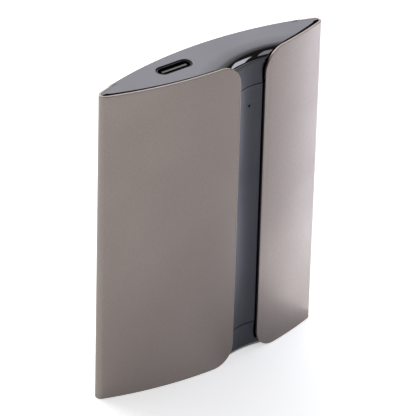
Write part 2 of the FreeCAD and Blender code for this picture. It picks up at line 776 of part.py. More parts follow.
usb_shell = new_body("usb_shell")
ring = sketch_on(usb_shell, "shell_outline", "XY_Plane", x=d.usb_x, y=d.usb_y, z=usb_back)
stadium(ring, d.usb_width, d.usb_thickness)
stadium(ring, d.usb_width - d.usb_wall * 2, d.usb_thickness - d.usb_wall * 2)
pad(usb_shell, "folded_shell", ring, d.usb_length)
tab_root = d.usb_width / 2 - d.usb_wall
tab_reach = d.usb_width / 2 + d.usb_tab
tab_step = (board_top - usb_back) / 4
for side, near, far in (("left", -tab_reach, -tab_root), ("right", tab_root, tab_reach)):
    tab_sketch = sketch_on(usb_shell, f"{side}_tab_outline", "XY_Plane", x=d.usb_x, z=usb_back + tab_step)
    rectangle(tab_sketch, near, far, board_rear, board_rear + d.usb_wall)
    pad(usb_shell, f"{side}_tab", tab_sketch, tab_step * 2)
nodes.append(usb_shell)

usb_tongue = new_body("usb_tongue")
base_sketch = sketch_on(usb_tongue, "base_outline", "XY_Plane", x=d.usb_x, y=d.usb_y, z=usb_back)
trim = (d.usb_wall + d.usb_fit) * 2
stadium(base_sketch, d.usb_width - trim, d.usb_thickness - trim)
pad(usb_tongue, "base", base_sketch, d.usb_base)
blade_sketch = sketch_on(usb_tongue, "blade_outline", "XY_Plane", x=d.usb_x, y=d.usb_y, z=usb_back)
centred_rectangle(blade_sketch, d.blade_width, d.blade_thickness)
pad(usb_tongue, "blade", blade_sketch, d.usb_base + d.blade_length)
nodes.append(usb_tongue)

contacts = new_body("usb_contacts")
contact_start = usb_back + d.usb_base
rows = []
for side, near in (
    ("front", d.usb_y - d.blade_thickness / 2 - d.contact_thickness),
    ("rear", d.usb_y + d.blade_thickness / 2),
):
    strip_start = d.usb_x - d.contact_pitch * 5.5 - d.contact_width / 2
    row_sketch = sketch_on(contacts, f"{side}_contact_outline", "XY_Plane", z=contact_start)
    rectangle(row_sketch, strip_start, strip_start + d.contact_width, near, near + d.contact_thickness)
    rows.append(pad(contacts, f"{side}_contact", row_sketch, d.contact_length))
doc.recompute()
pattern(contacts, "two_rows", rows, ("X_Axis", 12, d.contact_pitch * 11))
nodes.append(contacts)

# Parts on the board

controller_z = derived("controller_z", board_top - d.controller_drop)
flash_z = derived("flash_z", board_top - d.flash_drop)
power_z = derived("power_z", board_top - d.power_drop)
flash_half = d.flash_spread / 2
inductor_x = derived("inductor_x", d.power_x + d.power_size / 2 + d.inductor_gap + d.inductor_size / 2)
nodes.append(
    box("drive_controller", d.usb_x, controller_z, d.controller_size, d.controller_size, d.controller_thickness)
)
for number, side, rear in (
    (1, -flash_half, True),
    (2, flash_half, True),
    (3, -flash_half, False),
    (4, flash_half, False),
):
    name = f"flash_chip_{number}"
    nodes.append(box(name, side, flash_z, d.flash_width, d.flash_height, d.flash_thickness, rear))
nodes.append(box("power_chip", d.power_x, power_z, d.power_size, d.power_size, d.power_thickness))
for number, x in ((1, inductor_x), (2, inductor_x + d.inductor_size + d.inductor_gap)):
    nodes.append(
        box(f"power_inductor_{number}", x, power_z, d.inductor_size, d.inductor_size, d.inductor_thickness)
    )
crystal_x = d.usb_x + d.controller_size / 2 + d.crystal_gap + d.crystal_width / 2
nodes.append(box("crystal", crystal_x, controller_z, d.crystal_width, d.crystal_height, d.crystal_thickness))
nodes.append(box("status_led", d.slot_centre, led_z, d.led_width, d.led_height, d.led_thickness, rear=False))


def row_of_parts(name, count, pitch, top, width, height, thickness):
    """A row of like parts across the rear of the board, under a given height."""
    body = new_body(name)
    start = -(pitch * ((count - 1) / 2)) - width / 2
    sketch = sketch_on(body, "part_outline", "XZ_Plane", z=-board_rear)
    rectangle(sketch, start, start + width, top - height, top)
    single = pad(body, "part", sketch, thickness, backwards=True)
    doc.recompute()
    pattern(body, "row", [single], ("X_Axis", count, pitch * (count - 1)))
    return body


capacitor_top = flash_z - d.flash_height / 2 - d.capacitor_gap
resistor_top = capacitor_top - d.capacitor_height - d.resistor_gap
nodes.append(
    row_of_parts(
        "capacitors",
        12,
        d.capacitor_pitch,
        capacitor_top,
        d.capacitor_width,
        d.capacitor_height,
        d.capacitor_thickness,
    )
)
nodes.append(
    row_of_parts(
        "resistors", 16, d.resistor_pitch, resistor_top, d.resistor_width, d.resistor_height, d.resistor_thickness
    )
)

# Light pipe behind the pin-hole, from the light to the strip

light_pipe = new_body("light_pipe")
pipe_start = board_front - d.led_thickness - d.pipe_gap
pipe_seat = groove_floor + d.led_skin
rod = circles(sketch_on(light_pipe, "rod_outline", "XZ_Plane", z=-pipe_start), pipe_places, d.pipe_diameter)
pad(light_pipe, "rod", rod, pipe_start - pipe_seat)
tip_sketch = sketch_on(light_pipe, "tip_outline", "XZ_Plane", z=-pipe_seat)
circles(tip_sketch, pipe_places, d.pipe_tip)
pad(light_pipe, "tip", tip_sketch, d.pipe_tip_length)
nodes.append(light_pipe)

# Thermal pad between the rear flash chips and the sleeve

thermal_pad = new_body("thermal_pad")
pad_half_height = d.flash_height / 2 + d.pad_margin
pad_half = derived("pad_half", flash_half + d.flash_width / 2 + d.pad_margin)
pad_face = board_rear + d.flash_thickness
pad_radius = face_radius - d.wall - d.pad_gap
pad_edge = derived("pad_edge", (pad_radius * pad_radius - pad_half * pad_half).root() - face_centre)
pad_sketch = sketch_on(thermal_pad, "pad_outline", "XY_Plane", z=flash_z - pad_half_height)
outline(
    pad_sketch,
    [(-pad_half, pad_face), (pad_half, pad_face), (pad_half, pad_edge), (-pad_half, pad_edge)],
    {2: (pad_radius, as_size(0), -face_centre)},
)
pad(thermal_pad, "gap_pad", pad_sketch, pad_half_height * 2)
nodes.append(thermal_pad)

# Check and export

doc.recompute()
for item in doc.Objects:
    if "Invalid" in item.State or "Error" in item.State:
        raise RuntimeError(f"{item.Name} failed: {item.State}")
os.makedirs("parts", exist_ok=True)
for node in nodes:
    if node.Shape.isNull() or not node.Shape.isValid():
        raise RuntimeError(f"{node.Label} has no sound shape")
    node.Shape.exportStep(f"parts/{node.Label}.step")
    print(f"{node.Label}: {len(node.Shape.Solids)} solids, {node.Shape.Volume:.2f} mm3")
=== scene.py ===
"""Portable solid state drive: sleeve, end caps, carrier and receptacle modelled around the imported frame."""

import math

import bmesh
import bpy
from mathutils import Matrix, Vector


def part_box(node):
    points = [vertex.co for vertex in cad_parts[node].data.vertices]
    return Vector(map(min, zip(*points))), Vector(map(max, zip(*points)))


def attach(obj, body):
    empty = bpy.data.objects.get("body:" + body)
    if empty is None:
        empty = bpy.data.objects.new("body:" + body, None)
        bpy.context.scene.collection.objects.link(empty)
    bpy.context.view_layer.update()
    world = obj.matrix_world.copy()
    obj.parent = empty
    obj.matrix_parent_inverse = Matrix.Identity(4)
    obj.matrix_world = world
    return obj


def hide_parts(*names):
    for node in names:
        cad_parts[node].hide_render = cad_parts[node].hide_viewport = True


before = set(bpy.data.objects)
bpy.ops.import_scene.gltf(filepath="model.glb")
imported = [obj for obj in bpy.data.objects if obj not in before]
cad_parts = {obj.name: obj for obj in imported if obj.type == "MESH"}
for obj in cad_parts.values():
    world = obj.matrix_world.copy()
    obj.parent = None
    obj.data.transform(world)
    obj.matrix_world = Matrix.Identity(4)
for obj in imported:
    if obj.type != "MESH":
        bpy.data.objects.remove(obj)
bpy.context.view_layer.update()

bl_info = {
    "name": "Portable drive",
    "version": (1, 0, 0),
    "blender": (4, 5, 0),
    "location": "3D view > Sidebar > Drive",
    "description": "Models and finishes a portable solid state drive around its packed frame",
    "category": "Object",
}

MM = 0.001
UP = Vector((0, 0, 1))

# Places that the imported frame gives

SHELL_LOW, SHELL_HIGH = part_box("outer_shell")
PORT_LOW, PORT_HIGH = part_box("usb_shell")
PIPE_LOW, PIPE_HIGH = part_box("light_pipe")
SLOT_AXIS_X = (PIPE_LOW.x + PIPE_HIGH.x) / 2
PIN_HOLE_Z = (PIPE_LOW.z + PIPE_HIGH.z) / 2

# Limits and steps of the modelling

WELD = 1e-6
SLIVER = 0.03 * MM
ON_SURFACE = 0.02 * MM
CLEAR = 1.0 * MM
SPIN_SIGN = -1
FACING = 0.9
PARALLEL = 0.99
SHARP = math.radians(40)
SMOOTH_ANGLE = math.radians(30)
CORNER_STEPS = 18
ROUND_END_STEPS = 16
ROLL_STEPS = 24
PORT_EDGE_STEPS = 4
ROD_SIDES = 48
HOLLOW_SIDES = 360
FLARE = 1.2

# Caps and carrier, where the closed drive hides them

TONGUE_BACK = 1.8 * MM
CORE_HALF_DEPTH = 2.4 * MM
BOARD_PLAY = 0.3 * MM
RAIL_WALL = 0.9 * MM
LEG_SHOULDER = (2.6 * MM, 1.4 * MM)
LEG_PIN = (1.8 * MM, 1.0 * MM)
LEG_LENGTH = 6.0 * MM
SOCKET = (1.9 * MM, 1.1 * MM)
SOCKET_DEPTH = 6.2 * MM
CARRIER_WALL = 1.0 * MM
STRIP_BACK = 1.1 * MM
SCREW_HEAD_RADIUS = 1.4 * MM
POST_RADIUS = 1.7 * MM
POST_ROOT = 1.6 * MM
PILOT_RADIUS = 0.9 * MM
PILOT_DEPTH = 2.5 * MM
PIPE_POST_RADIUS = 1.6 * MM
PIPE_POST_END = 2.8 * MM
PIPE_BORE_RADIUS = 0.85 * MM
PIPE_SKIN = 0.5 * MM

# Port and receptacle

PORT_TAB = 0.9 * MM
PORT_MARGIN = 0.15 * MM
PORT_DEPTH = 6.0 * MM
FOLD_WALL = 0.3 * MM
FOLD_EDGE = 0.08 * MM
TONGUE_FIT = 0.04 * MM
TONGUE_BASE = 2.5 * MM
BLADE_HALF = (3.35 * MM, 0.35 * MM)
BLADE_ROOT = 0.5 * MM
BLADE_EDGE = 0.12 * MM

# Where one finish gives way to another

RELIEF_DEPTH = 0.01 * MM
FACE_SKIN = 0.03 * MM
LIP_DEPTH = 0.2 * MM
LIP_REACH = 0.5 * MM
BAND_START = 0.25 * MM
SHOULDER_TURN = math.radians(24)
GLEAM_TURN = math.radians(74)
# How far the painted shade on the cap faces reaches beyond the notch's rim
FADE_REACH = 3.0 * MM
SKIN_SHARE = 0.95
PIN_SHADE = 0.06 * MM
# PLATE_SKIN and PLATE_EDGE place the steel patch on the blade's tip, which is partly a painted highlight
PLATE_SKIN = 0.05 * MM
PLATE_EDGE = (0.2 * MM, 0.15 * MM)


def length(label, text, default):
    """A property for a length in metres."""
    return bpy.props.FloatProperty(name=label, description=text, default=default, unit="LENGTH", precision=5)


def angle(label, text, degrees):
    """A property for an angle, from degrees."""
    return bpy.props.FloatProperty(
        name=label, description=text, default=math.radians(degrees), subtype="ANGLE"
    )


def colour(label, text, default):
    """A property for a colour."""
    return bpy.props.FloatVectorProperty(
        name=label, description=text, default=default, size=3, subtype="COLOR", min=0, max=1
    )


class DriveSizes(bpy.types.PropertyGroup):
    """Sizes of the drive, in metres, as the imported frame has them."""

    width: length("Width", "Across the two tips", SHELL_HIGH.x - SHELL_LOW.x)
    height: length("Height", "End to end", SHELL_HIGH.z - SHELL_LOW.z)
    depth: length("Depth", "Front to back at the middle", 12.2 * MM)
    wall: length("Wall", "Sleeve wall", 0.6 * MM)
    edge: length("Edge", "Rounding along the sleeve's outer edges", 0.15 * MM)
    tip: length("Tip radius", "Outside of the sleeve's tips", 1.4 * MM)
    slot_x: length("Slot", "Middle of the slot, from the middle of the drive", SLOT_AXIS_X)
    slot_width: length("Slot width", "Between the slot's straight edges", 7.26 * MM)
    slot_corner: length("Slot corner", "Rounded corners at the ends of the slot", 5.5 * MM)
    gap: length("Shadow gap", "Beside the strip and around the carrier", 0.4 * MM)
    slide: length("Slide gap", "Play of the cap flanges in the sleeve", 0.1 * MM)
    front_gap: length("Front gap", "Cap face to sleeve at the middle of the front", 0.3 * MM)
    tip_gap: length("Tip gap", "Cap face to sleeve at the tips", 1.4 * MM)
    cap_tip: length("Cap tip", "Tip radius of the cap faces", 0.4 * MM)
    port_edge: length("Port edge", "Rounding around the port", 0.1 * MM)
    lip_start: length("Lip", "Lip of the cap over the sleeve's rear wall, from here backwards", 2.25 * MM)
    lip_gap: length("Lip gap", "Gap between the lip and the sleeve", 0.1 * MM)
    plate: length("Cap face", "Thickness of the cap above its flange", 1.6 * MM)
    flange: length("Cap flange", "Thickness of the flange", 1.5 * MM)
    tongue: length("Tongue", "Cap tongue in the slot, from the end", 8.0 * MM)
    parting: length("Parting line", "Hairline between tongue and strip", 0.2 * MM)
    groove_depth: length("Groove depth", "Deepest line of the groove", 1.45 * MM)
    groove_radius: length("Groove radius", "Hollow of the strip", 9.3 * MM)
    mouth_radius: length("Mouth radius", "Hollow of the groove at the ends", 22.0 * MM)
    roll: length("Roll", "Rounding from the groove onto the cap face", 2.5 * MM)
    board_half: length("Board half width", "Circuit board, to one side", 18.0 * MM)
    pin_hole: length("Pin-hole", "Diameter of the pin-hole in the strip", 0.7 * MM)


class DriveColours(bpy.types.PropertyGroup):
    """Colours of the visible finishes."""

    metal: colour("Sleeve", "Blasted and anodised metal", (0.29, 0.251, 0.234))
    cap: colour("Strip", "Moulded strip and the ends of the groove", (0.021, 0.0205, 0.036))
    # Painted light: the caps' faces are the strip's moulding, given a lighter colour as where light falls
    # from above
    lit_cap_face: colour("Cap faces", "Satin faces of the caps", (0.161, 0.158, 0.177))
    # The polish colour also paints the groove and gap walls by the mouth near-black, as painted shade and
    # dark reflection
    polish: colour("Polished band", "Bright roll at the ends of the groove", (0.0015, 0.0015, 0.002))
    # Painted shade: the receptacle's steel is given a near-black colour, far darker than bare steel, so the
    # port's inside reads dark
    steel: colour("Receptacle", "Darkened folded steel", (0.025, 0.025, 0.026))
    floor: colour("Floor", "Pale table", (0.88, 0.88, 0.88))


class DriveStudio(bpy.types.PropertyGroup):
    """Camera and light."""

    azimuth: angle("Azimuth", "Camera around the drive", -37.06)
    elevation: angle("Elevation", "Camera above the floor", 32.49)
    roll: angle("Roll", "Camera tilt", 1.61)
    distance: length("Distance", "Camera from its aim", 988.8 * MM)
    aim: length("Aim", "Height that the camera looks at", 35.0 * MM)
    across: length("Across", "Camera moved along its own right", 0.264 * MM)
    along: length("Along", "Camera moved along its own up", 4.51 * MM)
    lens: bpy.props.FloatProperty(
        name="Lens", description="Focal length, in millimetres", default=377.9, unit="CAMERA"
    )


# Selecting and small steps


def object_mode():
    if bpy.context.mode != "OBJECT":
        bpy.ops.object.mode_set(mode="OBJECT")


def deselect():
    object_mode()
    bpy.ops.object.select_all(action="DESELECT")


def take(piece):
    """Makes the piece the only one that is selected."""
    deselect()
    piece.select_set(True)
    bpy.context.view_layer.objects.active = piece


def edit(piece, kind="VERT"):
    """Enters edit mode with the whole piece selected."""
    take(piece)
    bpy.ops.object.mode_set(mode="EDIT")
    bpy.ops.mesh.select_mode(type=kind)
    bpy.ops.mesh.select_all(action="SELECT")


def pick(piece, kind, test):
    """Enters edit mode with the vertices, edges or faces selected that pass the test."""
    edit(piece, kind)
    bpy.ops.mesh.select_all(action="DESELECT")
    grid = bmesh.from_edit_mesh(piece.data)
    items = {"VERT": grid.verts, "EDGE": grid.edges, "FACE": grid.faces}[kind]
    for item in items:
        if test(item):
            item.select_set(True)
    grid.select_flush_mode()
    bmesh.update_edit_mesh(piece.data)


def middle(item):
    """The middle of an edge or a face."""
    return sum((vertex.co for vertex in item.verts), Vector()) / len(item.verts)


def runs_along(edge, axis):
    """Whether an edge runs along the named axis."""
    return abs(getattr((edge.verts[0].co - edge.verts[1].co).normalized(), axis)) > PARALLEL


def level_edge(edge, level):
    """Whether an edge lies at a height."""
    return all(abs(vertex.co.z - level) < WELD for vertex in edge.verts)


def extrude(*step):
    bpy.ops.mesh.extrude_region_move(TRANSFORM_OT_translate={"value": step})


def bevel(offset, segments):
    """Rounds the selected edges."""
    bpy.ops.mesh.bevel(offset=offset, offset_type="OFFSET", segments=segments, profile=0.5, affect="EDGES")


def new_piece(name):
    """Names the primitive that was just added, with its place put into its mesh."""
    piece = bpy.context.active_object
    piece.name = name
    piece.data.name = name
    bpy.ops.object.transform_apply(location=True, rotation=True, scale=True)
    return piece


def block(name, low, high):
    """A box between two corners, as the start of a piece or a cutter."""
    deselect()
    low, high = Vector(low), Vector(high)
    bpy.ops.mesh.primitive_cube_add(size=1, location=(low + high) / 2)
    bpy.context.active_object.scale = high - low
    return new_piece(name)


def upright_bar(name, x, half_size, low, high):
    """A square bar between two heights, from half its width and half its depth."""
    width, depth = half_size
    return block(name, (x - width, -depth, low), (x + width, depth, high))


def rod(name, place, start, end, radius):
    """A round bar along Y at an X and Z place, between two depths."""
    deselect()
    x, z = place
    bpy.ops.mesh.primitive_cylinder_add(
        vertices=ROD_SIDES,
        radius=radius,
        depth=end - start,
        location=(x, (start + end) / 2, z),
        rotation=(math.pi / 2, 0, 0),
    )
    return new_piece(name)


def round_uprights(piece, radius):
    """Rounds the upright edges of a piece."""
    pick(piece, "EDGE", lambda edge: runs_along(edge, "z"))
    bevel(radius, ROUND_END_STEPS)
    object_mode()


def combine(piece, tool, operation):
    """Joins or cuts the piece with a tool, which is used up."""
    take(piece)
    modifier = piece.modifiers.new(operation.lower(), "BOOLEAN")
    modifier.operation = operation
    modifier.solver = "MANIFOLD"
    modifier.object = tool
    bpy.ops.object.modifier_apply(modifier=modifier.name)
    bpy.data.objects.remove(tool, do_unlink=True)
    if not piece.data.polygons:
        raise RuntimeError(f"{piece.name} came out empty")


def weld(piece, reach=WELD):
    """Merges points that meet, and turns all faces outwards."""
    edit(piece)
    bpy.ops.mesh.remove_doubles(threshold=reach)
    bpy.ops.mesh.normals_make_consistent(inside=False)
    object_mode()


def smooth(piece):
    """Smooth shading that keeps flat faces flat and edges crisp."""
    take(piece)
    bpy.ops.object.shade_smooth_by_angle(angle=SMOOTH_ANGLE)
    modifier = piece.modifiers.new("even_shading", "WEIGHTED_NORMAL")
    modifier.keep_sharp = True
    modifier.weight = 90
    bpy.ops.object.modifier_apply(modifier=modifier.name)


def settle(piece, node, finish):
    """Puts a finished piece in the place of its node."""
    piece.data.materials.clear()
    piece.data.materials.append(finish)
    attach(piece, "root")
    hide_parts(node)


# The drive's lens-shaped section and its groove


class Lens:
    """Two bowed faces and two round tips, from the half depth, the half length and the radius of the tips."""

    def __init__(self, deep, long, tip):
        self.tip_radius = tip
        self.tip_x = long - tip
        self.face_radius = (self.tip_x**2 + deep**2 - tip**2) / (2 * (deep - tip))
        self.face_centre = self.face_radius - deep
        self.lean = math.atan2(self.tip_x, self.face_centre)

    def touches(self, point):
        """Whether a point lies on the outline of the lens."""
        face = abs(math.hypot(point.x, abs(point.y) + self.face_centre) - self.face_radius)
        tip = abs(math.hypot(abs(point.x) - self.tip_x, point.y) - self.tip_radius)
        return min(face, tip) < ON_SURFACE

    def sweep(self, start, end, face_steps, tip_steps):
        """Spins what is selected once round the lens, from one lean on the front to another."""
        round_tip = math.pi - 2 * self.lean
        share = 2 * self.lean / face_steps
        turns = (
            (self.lean - start, (0, self.face_centre, 0), round((self.lean - start) / share)),
            (round_tip, (self.tip_x, 0, 0), tip_steps),
            (2 * self.lean, (0, -self.face_centre, 0), face_steps),
            (round_tip, (-self.tip_x, 0, 0), tip_steps),
            (end + self.lean, (0, self.face_centre, 0), round((end + self.lean) / share)),
        )
        for turn, centre, steps in turns:
            bpy.ops.mesh.spin(steps=steps, angle=SPIN_SIGN * turn, center=centre, axis=UP)

    def prism(self, name, low, high):
        """A solid of the lens between two heights: an upright edge, swept round and closed."""
        front = self.face_centre - self.face_radius
        piece = upright_edge(name, Vector((0, front, low)), high - low)
        self.sweep(0.0, 0.0, face_steps=64, tip_steps=20)
        edit(piece)
        bpy.ops.mesh.remove_doubles(threshold=WELD)
        for level in (low, high):
            pick(piece, "EDGE", lambda edge: level_edge(edge, level))
            bpy.ops.mesh.edge_face_add()
        weld(piece)
        return piece


def upright_edge(name, foot, tall):
    """One upright edge, left over from a plane, selected in edit mode."""
    deselect()
    bpy.ops.mesh.primitive_plane_add(size=tall, rotation=(math.pi / 2, 0, 0))
    piece = new_piece(name)
    pick(piece, "VERT", lambda vertex: vertex.co.x > 0)
    bpy.ops.mesh.delete(type="VERT")
    edit(piece)
    bpy.ops.transform.translate(value=foot + Vector((tall / 2, 0, tall / 2)))
    return piece


def drive_lens(sizes, inset=0.0):
    return Lens(sizes.depth / 2 - inset, sizes.width / 2 - inset, sizes.tip - inset)


class Groove:
    """The groove's deepest line, the axis of the strip's hollow and that of the mouth at both ends."""

    def __init__(self, sizes):
        lens = drive_lens(sizes)
        lean = math.asin(sizes.slot_x / lens.face_radius)
        normal = Vector((math.sin(lean), -math.cos(lean), 0))
        self.line = Vector((0, lens.face_centre, 0)) + normal * (lens.face_radius - sizes.groove_depth)
        self.axis = self.line + normal * sizes.groove_radius
        self.mouth_axis = self.line + normal * sizes.mouth_radius


def slot_sides(sizes, gap=0.0):
    """The slot's two straight edges, or those of what fills it with a gap on each side."""
    half = sizes.slot_width / 2 - gap
    return sizes.slot_x - half, sizes.slot_x + half


def leg_place(sizes):
    """How far to each side the caps' legs and the carrier's sockets stand."""
    return sizes.board_half + BOARD_PLAY + RAIL_WALL + SOCKET[0]


def port_box():
    """The lowest and highest corner of the receptacle's shell, without its solder tabs."""
    tab = Vector((PORT_TAB, 0, 0))
    return PORT_LOW + tab, PORT_HIGH - tab


# Nodes of the finishes


def calculate(tree, operation, first, second=0.0):
    """A math node, fed with numbers or with other nodes."""
    node = tree.nodes.new("ShaderNodeMath")
    node.operation = operation
    for socket, value in zip(node.inputs, (first, second)):
        if isinstance(value, (int, float)):
            socket.default_value = value
        else:
            tree.links.new(value, socket)
    return node.outputs["Value"]


def both(tree, first, second):
    """Two masks or values multiplied."""
    return calculate(tree, "MULTIPLY", first, second)


def outside(tree, mask):
    """Where the mask is 0."""
    return calculate(tree, "SUBTRACT", 1.0, mask)


def ramp(tree, value, low, high, first, last):
    """Spreads what lies between two limits over another range."""
    node = tree.nodes.new("ShaderNodeMapRange")
    for socket, limit in (("From Min", low), ("From Max", high), ("To Min", first), ("To Max", last)):
        node.inputs[socket].default_value = limit
    tree.links.new(value, node.inputs["Value"])
    return node.outputs["Result"]


def choose(tree, mask, first, second):
    """One of two colours or values by the mask."""
    kind = "FLOAT" if isinstance(second, float) else "RGBA"
    node = tree.nodes.new("ShaderNodeMix")
    node.data_type = kind
    factor, low, high = [socket for socket in node.inputs if socket.enabled]
    tree.links.new(mask, factor)
    for socket, value in ((low, first), (high, second)):
        if isinstance(value, bpy.types.NodeSocket):
            tree.links.new(value, socket)
        else:
            socket.default_value = value if kind == "FLOAT" else (*value, 1)
    return [socket for socket in node.outputs if socket.enabled][0]


def speckled(tree, mask, tint, spread):
    """A tint that goes from a little darker to a little lighter by the mask."""
    darker, lighter = ([min(1, share * channel) for channel in tint] for share in (1 - spread, 1 + spread))
    return choose(tree, mask, darker, lighter)


def position(tree):
    """The shaded point's X, Y and Z in the drive."""
    place = tree.nodes.new("ShaderNodeTexCoord")
    axes = tree.nodes.new("ShaderNodeSeparateXYZ")
    tree.links.new(place.outputs["Object"], axes.inputs["Vector"])
    return axes.outputs["X"], axes.outputs["Y"], axes.outputs["Z"]


def distance(tree, first, first_centre, second, second_centre):
    """How far the shaded point lies from an axis."""
    squares = []
    for socket, centre in ((first, first_centre), (second, second_centre)):
        off = calculate(tree, "SUBTRACT", socket, centre)
        squares.append(both(tree, off, off))
    return calculate(tree, "SQRT", calculate(tree, "ADD", *squares))


def grain_group():
    """Blasted or moulded grain: a height for relief, fine grain for colour, a soft cloud for roughness."""
    group = bpy.data.node_groups.new("surface_grain", "ShaderNodeTree")
    for socket, default in (("Scale", 9000.0), ("Cloud Scale", 120.0)):
        given = group.interface.new_socket(socket, in_out="INPUT", socket_type="NodeSocketFloat")
        given.default_value = default
    for socket in ("Height", "Cloud", "Grain"):
        group.interface.new_socket(socket, in_out="OUTPUT", socket_type="NodeSocketFloat")
    nodes, links = group.nodes, group.links
    entry = nodes.new("NodeGroupInput")
    leave = nodes.new("NodeGroupOutput")
    place = nodes.new("ShaderNodeTexCoord")
    fine = nodes.new("ShaderNodeTexNoise")
    fine.inputs["Detail"].default_value = 3.0
    fine.inputs["Roughness"].default_value = 0.6
    cloud = nodes.new("ShaderNodeTexNoise")
    cloud.inputs["Detail"].default_value = 2.0
    speck = nodes.new("ShaderNodeTexVoronoi")
    for texture, scale in ((fine, "Scale"), (speck, "Scale"), (cloud, "Cloud Scale")):
        links.new(place.outputs["Object"], texture.inputs["Vector"])
        links.new(entry.outputs[scale], texture.inputs["Scale"])
    half_speck = both(group, speck.outputs["Distance"], 0.5)
    height = calculate(group, "ADD", half_speck, fine.outputs["Fac"])
    links.new(height, leave.inputs["Height"])
    links.new(cloud.outputs["Fac"], leave.inputs["Cloud"])
    links.new(fine.outputs["Fac"], leave.inputs["Grain"])
    return group


def shader_of(tree):
    return tree.nodes["Principled BSDF"]


def add_grain(tree, scale, cloud_scale):
    """Places the shared grain in a material."""
    grain = tree.nodes.new("ShaderNodeGroup")
    grain.node_tree = bpy.data.node_groups.get("surface_grain") or grain_group()
    grain.inputs["Scale"].default_value = scale
    grain.inputs["Cloud Scale"].default_value = cloud_scale
    return grain.outputs


def add_relief(tree, height, strength):
    """Feeds a height to the shader's normal."""
    relief = tree.nodes.new("ShaderNodeBump")
    relief.inputs["Strength"].default_value = strength
    relief.inputs["Distance"].default_value = RELIEF_DEPTH
    tree.links.new(height, relief.inputs["Height"])
    tree.links.new(relief.outputs["Normal"], shader_of(tree).inputs["Normal"])


def new_finish(name):
    material = bpy.data.materials.new(name)
    material.use_nodes = True
    return material, material.node_tree, shader_of(material.node_tree)


def overlay(tree, mask, tint):
    """Lays a tint over a finish where the mask is 1."""
    base = shader_of(tree).inputs["Base Color"]
    tree.links.new(choose(tree, mask, base.links[0].from_socket, tint), base)


# Finishes


def grained_finish(name, tint, roughness, metallic=0.0, *, scale, bump, spread):
    """A finish with fine grain: colour, roughness and bump all change a little over the surface."""
    material, tree, shader = new_finish(name)
    shader.inputs["Metallic"].default_value = metallic
    grain = add_grain(tree, scale, scale / 60)
    tree.links.new(speckled(tree, grain["Grain"], tint, spread), shader.inputs["Base Color"])
    rough = ramp(tree, grain["Cloud"], 0.3, 0.7, roughness - 0.04, roughness + 0.04)
    tree.links.new(rough, shader.inputs["Roughness"])
    add_relief(tree, grain["Height"], bump)
    return material


def moulded_gloss(shader):
    """The cool gloss that the caps and the strip share."""
    shader.inputs["IOR"].default_value = 1.62
    shader.inputs["Specular Tint"].default_value = (0.89, 0.89, 1.0, 1)


def cap_finish(name, sizes, colours):
    """Satin moulding with painted light and shade: the face is a lighter, part-metallic copy of the moulding,
    painted as where light falls from above, with painted shade darkening it towards the notch; the groove and
    gap walls by the mouth are painted near-black as shade and dark reflection; a polished roll; and the
    moulding's own dark colour where it sits inside the sleeve.
    """
    material, tree, shader = new_finish(name)
    moulded_gloss(shader)
    shader.inputs["Coat IOR"].default_value = 2.2
    shader.inputs["Coat Roughness"].default_value = 0.04
    x, y, z = position(tree)
    end = sizes.height / 2
    from_middle = calculate(tree, "ABSOLUTE", calculate(tree, "SUBTRACT", z, end))

    def beyond(limit):
        return calculate(tree, "GREATER_THAN", from_middle, limit)

    base = end - sizes.roll
    shoulder = beyond(base + sizes.roll * math.cos(SHOULDER_TURN))
    mouth = Groove(sizes).mouth_axis
    from_mouth = distance(tree, x, mouth.x, y, mouth.y)
    rim = sizes.mouth_radius + sizes.roll
    near = calculate(tree, "LESS_THAN", from_mouth, rim)
    flat = beyond(end - FACE_SKIN)
    lip = both(tree, beyond(end - LIP_DEPTH), outside(tree, flat))
    for socket, low, high in (
        (x, PORT_LOW.x, PORT_HIGH.x),
        (y, PORT_LOW.y - LIP_REACH, PORT_HIGH.y + LIP_REACH),
    ):
        off = calculate(tree, "ABSOLUTE", calculate(tree, "SUBTRACT", socket, (low + high) / 2))
        lip = both(tree, lip, calculate(tree, "LESS_THAN", off, (high - low) / 2))
    # Painted light: the face, the lip round the port and the roll's shoulder take the lighter, part-metallic
    # copy of the moulding
    face = calculate(tree, "MAXIMUM", calculate(tree, "MAXIMUM", flat, lip), both(tree, near, shoulder))
    band = both(tree, both(tree, beyond(base - BAND_START), near), outside(tree, shoulder))

    grain = add_grain(tree, 7000.0, 110.0)
    speckle = ramp(tree, grain["Grain"], 0.3, 0.7, 0.0, 1.0)
    # Painted shade: the face darkens to 0.42 of its colour towards the notch, where the roll turns away from
    # the light
    notch_shade_ramp = ramp(tree, from_mouth, rim - sizes.roll / 2, rim + FADE_REACH, 0.0, 1.0)
    polish = tuple(colours.polish)
    # Painted shade and reflection: within the mouth, the groove and the walls of the shadow gap take the
    # polished band's near-black instead of the moulding's colour
    plain = choose(tree, near, polish, speckled(tree, speckle, colours.cap, 0.12))
    shaded = [0.42 * channel for channel in colours.lit_cap_face]
    light = choose(tree, notch_shade_ramp, shaded, speckled(tree, speckle, colours.lit_cap_face, 0.06))
    tint = choose(tree, band, choose(tree, face, plain, light), polish)
    tree.links.new(tint, shader.inputs["Base Color"])
    tree.links.new(both(tree, face, 0.4), shader.inputs["Metallic"])
    gleam = both(tree, band, beyond(base + sizes.roll * math.cos(GLEAM_TURN)))
    tree.links.new(gleam, shader.inputs["Coat Weight"])
    satin = choose(tree, lip, ramp(tree, grain["Cloud"], 0.3, 0.7, 0.38, 0.44), 0.2)
    tree.links.new(choose(tree, band, satin, 0.06), shader.inputs["Roughness"])
    add_relief(tree, choose(tree, band, grain["Height"], 0.0), 0.12)
    return material


